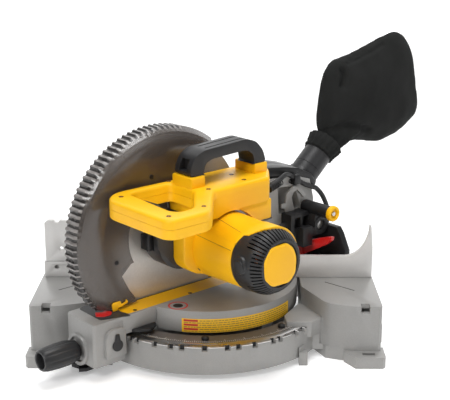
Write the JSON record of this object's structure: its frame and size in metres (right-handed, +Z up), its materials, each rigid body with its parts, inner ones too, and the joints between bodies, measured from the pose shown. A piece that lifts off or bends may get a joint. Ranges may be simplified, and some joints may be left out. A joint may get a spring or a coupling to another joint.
{
  "type": "compound miter saw",
  "caption": "Bench-top compound miter saw with a pivoting blade head, rotating notched table, split fence, top carry handle and rear dust bag.",
  "frame": {"origin": "on the bench below the middle of the saw's overall extents at rest, the free cord left out", "axes": "+Z up from the bench, +Y from the operator to the rear, square to the fence, +X to the operator's right along the fence"},
  "size_m": [0.7052, 0.6909, 0.48],
  "materials": {
    "bare_steel": "bare steel",
    "black_cloth": "matte black woven cloth",
    "black_plastic": "fine-textured black moulded plastic",
    "copper": null,
    "cord_rubber": "matte black rubber jacket",
    "dark_casting": "dark painted casting",
    "painted_casting": "light warm-grey painted casting",
    "red_plastic": "glossy red moulded plastic",
    "smoky_plastic": "smoky translucent plastic",
    "yellow_plastic": "satin yellow moulded plastic"
  },
  "bodies": {
    "base": {"base_casting": "painted_casting", "cord_coil": "cord_rubber", "cord_free": "cord_rubber", "cord_plug": "cord_rubber", "detent_plate": "bare_steel", "fence_casting": "painted_casting", "miter_scale": "dark_casting", "pivot_bolt": "bare_steel", "scale_screw_left": "black_plastic", "scale_screw_right": "black_plastic"},
    "sliding_fence": {"sliding_fence": "painted_casting"},
    "fence_knob": {"fence_clamp_knob": "black_plastic"},
    "turntable": {"bevel_bracket": "black_plastic", "bevel_pivot_bolt": "bare_steel", "cord_gland": "black_plastic", "kerf_plate_left": "yellow_plastic", "kerf_plate_right": "yellow_plastic", "miter_pointer": "black_plastic", "side_plug": "black_plastic", "turntable": "painted_casting"},
    "miter_knob": {"miter_lock_knob": "black_plastic", "miter_lock_rod": "bare_steel"},
    "detent_lever": {"detent_lever": "black_plastic"},
    "detent_pawl": {"detent_pawl": "bare_steel"},
    "bevel_lever": {"bevel_clamp_lever": "red_plastic"},
    "trunnion": {"cord_loop": "cord_rubber", "lock_pin_sleeve": "black_plastic", "pivot_shaft": "bare_steel", "trunnion": "black_plastic"},
    "lock_pin": {"lock_pin": "bare_steel", "lock_pin_knob": "yellow_plastic"},
    "head": {"brush_cap_front": "black_plastic", "brush_cap_rear": "black_plastic", "carry_handle": "black_plastic", "cord_clip": "black_plastic", "cord_on_arm": "cord_rubber", "dust_bag": "black_cloth", "dust_nozzle": "black_plastic", "dust_tube": "dark_casting", "end_cap_badge": "yellow_plastic", "gear_case": "dark_casting", "handle_lower": "yellow_plastic", "handle_upper": "yellow_plastic", "motor_end_cap": "black_plastic", "motor_housing": "yellow_plastic", "return_spring": "bare_steel", "saw_arm": "painted_casting", "stator": "dark_casting", "upper_guard": "painted_casting"},
    "lower_guard": {"lower_guard": "smoky_plastic"},
    "spindle": {"arbor_bolt": "bare_steel", "inner_flange": "bare_steel", "outer_flange": "dark_casting", "saw_blade": "bare_steel", "spindle": "bare_steel", "spindle_gear": "bare_steel"},
    "armature": {"armature": "copper", "motor_fan": "black_plastic"},
    "trigger": {"trigger": "black_plastic"},
    "spindle_lock": {"spindle_lock_button": "black_plastic"}
  },
  "joints": [
    {"name": "miter", "type": "hinge", "parent": "base", "child": "turntable", "pos_m": [-0.06456, -0.04247, 0], "axis": [0, 0, 1], "range_deg": [-1.5, 93.5], "deforming": ["cord_free"]},
    {"name": "bevel", "type": "hinge", "parent": "turntable", "child": "trunnion", "pos_m": [0.06725, 0.07415, 0.096], "axis": [-0.749, -0.6626, 0], "range_deg": [0, 48]},
    {"name": "chop", "type": "hinge", "parent": "trunnion", "child": "head", "pos_m": [0.06725, 0.07415, 0.177], "axis": [-0.6626, 0.749, 0], "range_deg": [0, 38], "deforming": ["cord_loop"]},
    {"name": "lower_guard", "type": "hinge", "parent": "head", "child": "lower_guard", "pos_m": [-0.13796, -0.1074, 0.203], "axis": [0.6626, -0.749, 0], "range_deg": [0, 68]},
    {"name": "spindle", "type": "hinge", "parent": "head", "child": "spindle", "pos_m": [-0.13796, -0.1074, 0.203], "axis": [0.6626, -0.749, 0], "continuous": true},
    {"name": "armature", "type": "hinge", "parent": "head", "child": "armature", "pos_m": [-0.09976, -0.07361, 0.192], "axis": [0.6626, -0.749, 0], "continuous": true},
    {"name": "trigger", "type": "hinge", "parent": "head", "child": "trigger", "pos_m": [-0.16279, -0.21215, 0.275], "axis": [0, 0, -1], "range_deg": [0, 6], "stiffness_Nm_per_rad": 0.6, "springref_deg": -2.86},
    {"name": "spindle_lock", "type": "slide", "parent": "head", "child": "spindle_lock", "axis": [0.749, 0.6626, 0], "range_m": [0, 0.004], "stiffness_N_per_m": 400, "springref_m": -0.002},
    {"name": "lock_pin", "type": "slide", "parent": "trunnion", "child": "lock_pin", "axis": [0.6626, -0.749, 0], "range_m": [0, 0.012]},
    {"name": "bevel_lever", "type": "hinge", "parent": "turntable", "child": "bevel_lever", "pos_m": [0.10067, 0.01827, 0.126], "axis": [0.749, 0.6626, 0], "range_deg": [0, 8]},
    {"name": "miter_knob", "type": "hinge", "parent": "turntable", "child": "miter_knob", "pos_m": [-0.26102, -0.22336, 0.045], "axis": [-0.749, -0.6626, 0], "continuous": true},
    {"name": "detent_lever", "type": "hinge", "parent": "turntable", "child": "detent_lever", "pos_m": [-0.24132, -0.19884, 0.0145], "axis": [-0.6626, 0.749, 0], "range_deg": [0, 5], "stiffness_Nm_per_rad": 0.8, "springref_deg": -3.44},
    {"name": "detent_pawl", "type": "slide", "parent": "turntable", "child": "detent_pawl", "axis": [0, 0, 1], "range_m": [0, 0.0035], "stiffness_N_per_m": 60, "springref_m": -0.004},
    {"name": "fence_slide", "type": "slide", "parent": "base", "child": "sliding_fence", "axis": [-1, 0, 0], "range_m": [0, 0.088]},
    {"name": "fence_knob", "type": "hinge", "parent": "base", "child": "fence_knob", "pos_m": [-0.26456, -0.02847, 0.112], "axis": [0, 1, 0], "continuous": true}
  ],
  "couplings": [
    {"joint": "lower_guard", "follows": "chop", "ratio": 1.76},
    {"joint": "armature", "follows": "spindle", "ratio": -2.857}
  ]
}
